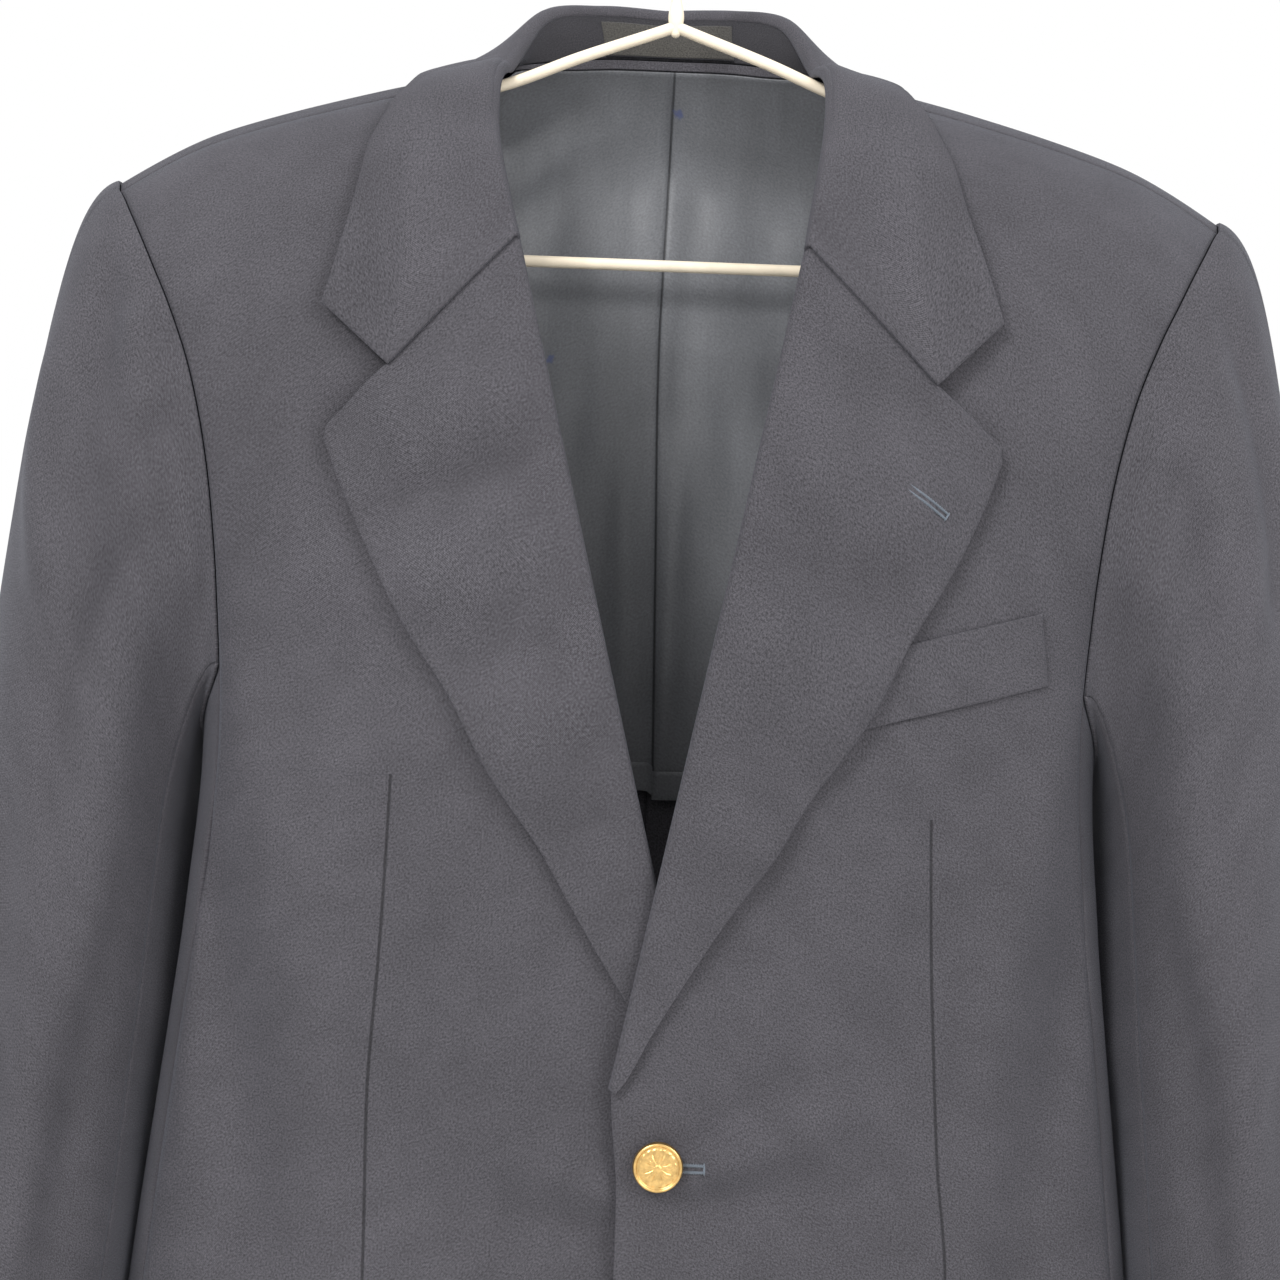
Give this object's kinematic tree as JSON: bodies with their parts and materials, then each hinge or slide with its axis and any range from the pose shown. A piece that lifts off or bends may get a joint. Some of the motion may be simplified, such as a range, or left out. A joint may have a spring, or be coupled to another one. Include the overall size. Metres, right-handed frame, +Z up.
{
  "type": "tailored jacket on a hanger",
  "caption": "Single-breasted notch-lapel tailored jacket with metal shank buttons and a half-lined back, hanging open-necked on a thin coated tube hanger with a bar.",
  "frame": {"origin": "the point of the hanger hook that bears on a rail, at the inside top of the hook's bend", "axes": "+Z up along the hanging jacket, +X towards the wearer's left side, -Y towards the front of the jacket"},
  "size_m": [0.5964, 0.169, 0.8491],
  "materials": {
    "cloth": "dark navy worsted twill, matt with a faint sheen",
    "lining": "grey-blue smooth lining with a soft sheen",
    "patch": "grey woven patch, bare",
    "hanger_coating": "cream coating on a metal tube, soft gloss",
    "button_metal": "warm gold-coloured metal, satin"
  },
  "bodies": {
    "root": {"front_left": "cloth", "front_right": "cloth", "back_left": "cloth", "back_right": "cloth", "side_left": "cloth", "side_right": "cloth", "lapel_left": "cloth", "lapel_right": "cloth", "collar_fall": "cloth", "collar_stand": "cloth", "neck_facing": "cloth", "neck_patch": "patch", "lining_left": "lining", "lining_right": "lining", "breast_welt": "cloth", "pocket_flap_left": "cloth", "pocket_flap_right": "cloth", "top_sleeve_left": "cloth", "top_sleeve_right": "cloth", "under_sleeve_left": "cloth", "under_sleeve_right": "cloth", "hanger_hook": "hanger_coating", "hanger_arm_left": "hanger_coating", "hanger_arm_right": "hanger_coating", "hanger_bar": "hanger_coating", "button_upper": "button_metal", "button_lower": "button_metal"}
  },
  "joints": []
}
